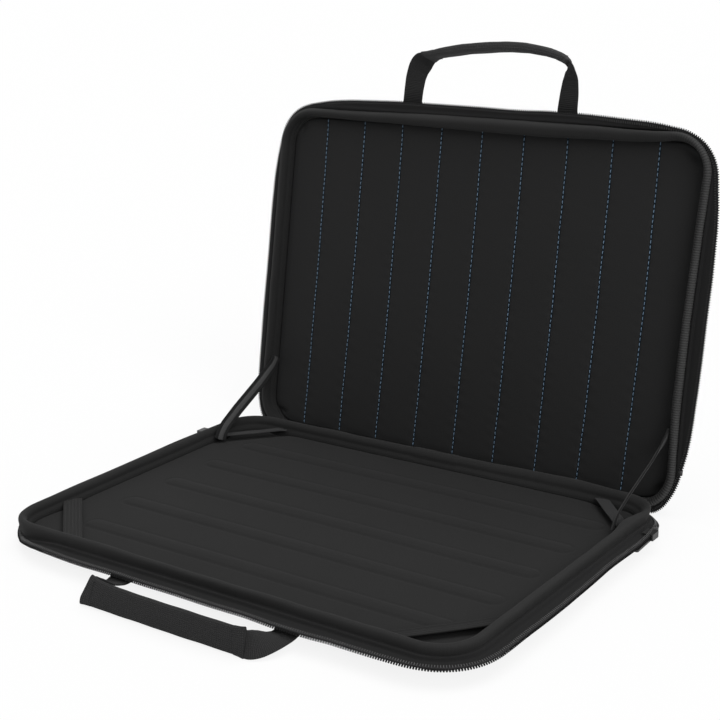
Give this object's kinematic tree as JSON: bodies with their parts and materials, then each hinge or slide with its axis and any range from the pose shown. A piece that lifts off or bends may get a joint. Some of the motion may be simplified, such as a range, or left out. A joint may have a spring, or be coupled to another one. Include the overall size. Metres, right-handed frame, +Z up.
{
  "type": "laptop hard case",
  "caption": "Zipped moulded laptop case, standing open: ribbed padded base with corner straps, quilted lid on a fabric spine, stay straps, carrying handles.",
  "frame": {"origin": "centre of the base's flat underside, under the middle of its crest line", "axes": "+Z up out of the tray; -Y towards the front with the handles; +X to the right as seen from the front"},
  "size_m": [0.4366, 0.4371, 0.3481],
  "materials": {
    "outer_fabric": "matt woven polyester",
    "eva_foam": "moulded foam, matt",
    "rim_tape": "fine ribbed grosgrain",
    "lining": "smooth brushed lining",
    "zip_tape": "smooth woven tape",
    "zip_coil": "nylon coil",
    "zip_metal": "black enamel",
    "strap": "narrow webbing",
    "webbing": "ribbed webbing"
  },
  "bodies": {
    "base": {"base_cover": "outer_fabric", "base_shell": "eva_foam", "base_binding": "rim_tape", "base_pad": "lining", "base_zip_tape": "zip_tape", "base_zip_coil": "zip_coil", "base_zip_stops": "zip_metal", "base_corner_strap_front_left": "strap", "base_corner_strap_front_right": "strap", "base_corner_strap_rear_left": "strap", "base_corner_strap_rear_right": "strap", "stay_strap_left": "strap", "stay_strap_right": "strap", "hinge_spine": "outer_fabric"},
    "lid": {"lid_cover": "outer_fabric", "lid_shell": "eva_foam", "lid_binding": "rim_tape", "lid_pad": "lining", "lid_zip_tape": "zip_tape", "lid_zip_coil": "zip_coil", "lid_zip_stops": "zip_metal"},
    "base_handle": {"base_handle_webbing": "webbing", "base_handle_sleeve": "outer_fabric"},
    "lid_handle": {"lid_handle_webbing": "webbing", "lid_handle_sleeve": "outer_fabric"},
    "slider_left": {"zip_slider_left": "zip_metal"},
    "slider_right": {"zip_slider_right": "zip_metal"},
    "pull_left": {"pull_tab_left": "zip_metal"},
    "pull_right": {"pull_tab_right": "zip_metal"}
  },
  "joints": [
    {"name": "lid_hinge", "type": "hinge", "parent": "base", "child": "lid", "pos_m": [0, 0.1432, 0.00775], "axis": [1, 0, 0], "range_deg": [0, 101.2], "deforming": ["stay_strap_left", "stay_strap_right", "hinge_spine"]},
    {"name": "base_handle_swing", "type": "hinge", "parent": "base", "child": "base_handle", "pos_m": [0, -0.1449, 0.008], "axis": [1, 0, 0], "range_deg": [-6, 70]},
    {"name": "lid_handle_swing", "type": "hinge", "parent": "lid", "child": "lid_handle", "pos_m": [0, 0.22883, 0.28449], "axis": [1, 0, 0], "range_deg": [-70, 3], "stiffness_Nm_per_rad": 0.05},
    {"name": "slider_left_run", "type": "slide", "parent": "base", "child": "slider_left", "axis": [0, -1, 0], "range_m": [0, 0.2]},
    {"name": "slider_right_run", "type": "slide", "parent": "base", "child": "slider_right", "axis": [0, -1, 0], "range_m": [0, 0.2]},
    {"name": "pull_left_swing", "type": "hinge", "parent": "slider_left", "child": "pull_left", "pos_m": [-0.2122, 0.09888, 0.00935], "axis": [1, 0, 0], "range_deg": [-2, 160]},
    {"name": "pull_right_swing", "type": "hinge", "parent": "slider_right", "child": "pull_right", "pos_m": [0.2122, 0.09888, 0.00935], "axis": [1, 0, 0], "range_deg": [-2, 160]}
  ]
}
